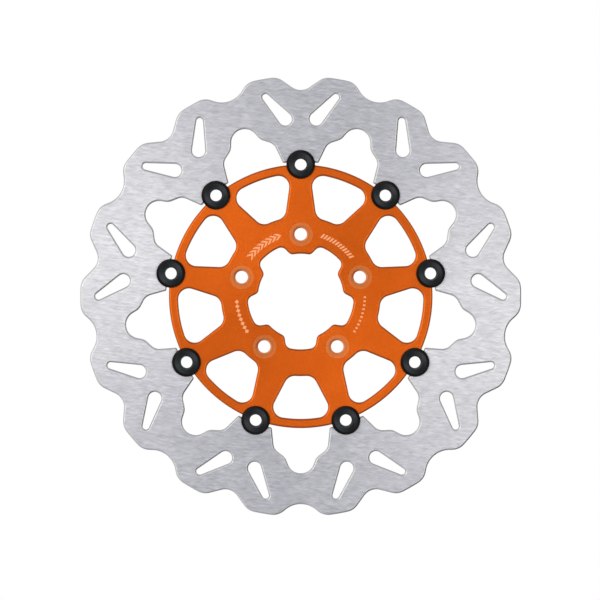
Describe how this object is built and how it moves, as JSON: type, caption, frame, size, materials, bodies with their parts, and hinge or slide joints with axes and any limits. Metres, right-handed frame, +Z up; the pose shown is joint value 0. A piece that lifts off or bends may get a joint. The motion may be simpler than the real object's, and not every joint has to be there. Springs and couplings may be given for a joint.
{
  "type": "floating brake disc rotor",
  "caption": "Wave-edged floating motorcycle brake disc: slotted steel friction band on an orange spoked carrier, joined by black hollow drive buttons.",
  "frame": {"origin": "centre of the disc, half way through the friction band", "axes": "+Y along the disc axis, from the button flanges on the outer side towards the hub seat and the wheel; +Z up, through the first button and the first bolt; +X to the right as seen from the flanges"},
  "size_m": [0.2998, 0.0117, 0.2973],
  "materials": {
    "band_steel": "ground and brushed stainless steel with a straight grain",
    "carrier_anodised": "satin orange anodised aluminium",
    "button_anodised": "satin black hard-anodised aluminium",
    "wave_washer_steel": "bright spring steel",
    "flat_washer_steel": "zinc-plated steel",
    "circlip_steel": "dark phosphated spring steel"
  },
  "bodies": {
    "carrier": {"carrier": "carrier_anodised"},
    "band": {"rotor_band": "band_steel"},
    "button_1": {"button_1": "button_anodised", "wave_washer_1": "wave_washer_steel", "flat_washer_1": "flat_washer_steel", "circlip_1": "circlip_steel"},
    "button_2": {"button_2": "button_anodised", "wave_washer_2": "wave_washer_steel", "flat_washer_2": "flat_washer_steel", "circlip_2": "circlip_steel"},
    "button_3": {"button_3": "button_anodised", "wave_washer_3": "wave_washer_steel", "flat_washer_3": "flat_washer_steel", "circlip_3": "circlip_steel"},
    "button_4": {"button_4": "button_anodised", "wave_washer_4": "wave_washer_steel", "flat_washer_4": "flat_washer_steel", "circlip_4": "circlip_steel"},
    "button_5": {"button_5": "button_anodised", "wave_washer_5": "wave_washer_steel", "flat_washer_5": "flat_washer_steel", "circlip_5": "circlip_steel"},
    "button_6": {"button_6": "button_anodised", "wave_washer_6": "wave_washer_steel", "flat_washer_6": "flat_washer_steel", "circlip_6": "circlip_steel"},
    "button_7": {"button_7": "button_anodised", "wave_washer_7": "wave_washer_steel", "flat_washer_7": "flat_washer_steel", "circlip_7": "circlip_steel"},
    "button_8": {"button_8": "button_anodised", "wave_washer_8": "wave_washer_steel", "flat_washer_8": "flat_washer_steel", "circlip_8": "circlip_steel"},
    "button_9": {"button_9": "button_anodised", "wave_washer_9": "wave_washer_steel", "flat_washer_9": "flat_washer_steel", "circlip_9": "circlip_steel"}
  },
  "joints": [
    {"name": "band_float", "type": "slide", "parent": "carrier", "child": "band", "axis": [0, 1, 0], "range_m": [-0.0002, 0.0002]},
    {"name": "button_spin_1", "type": "hinge", "parent": "carrier", "child": "button_1", "pos_m": [0, 0, 0.0897], "axis": [0, 1, 0], "continuous": true},
    {"name": "button_spin_2", "type": "hinge", "parent": "carrier", "child": "button_2", "pos_m": [0.05766, 0, 0.06871], "axis": [0, 1, 0], "continuous": true},
    {"name": "button_spin_3", "type": "hinge", "parent": "carrier", "child": "button_3", "pos_m": [0.08834, 0, 0.01558], "axis": [0, 1, 0], "continuous": true},
    {"name": "button_spin_4", "type": "hinge", "parent": "carrier", "child": "button_4", "pos_m": [0.07768, 0, -0.04485], "axis": [0, 1, 0], "continuous": true},
    {"name": "button_spin_5", "type": "hinge", "parent": "carrier", "child": "button_5", "pos_m": [0.03068, 0, -0.08429], "axis": [0, 1, 0], "continuous": true},
    {"name": "button_spin_6", "type": "hinge", "parent": "carrier", "child": "button_6", "pos_m": [-0.03068, 0, -0.08429], "axis": [0, 1, 0], "continuous": true},
    {"name": "button_spin_7", "type": "hinge", "parent": "carrier", "child": "button_7", "pos_m": [-0.07768, 0, -0.04485], "axis": [0, 1, 0], "continuous": true},
    {"name": "button_spin_8", "type": "hinge", "parent": "carrier", "child": "button_8", "pos_m": [-0.08834, 0, 0.01558], "axis": [0, 1, 0], "continuous": true},
    {"name": "button_spin_9", "type": "hinge", "parent": "carrier", "child": "button_9", "pos_m": [-0.05766, 0, 0.06871], "axis": [0, 1, 0], "continuous": true}
  ]
}
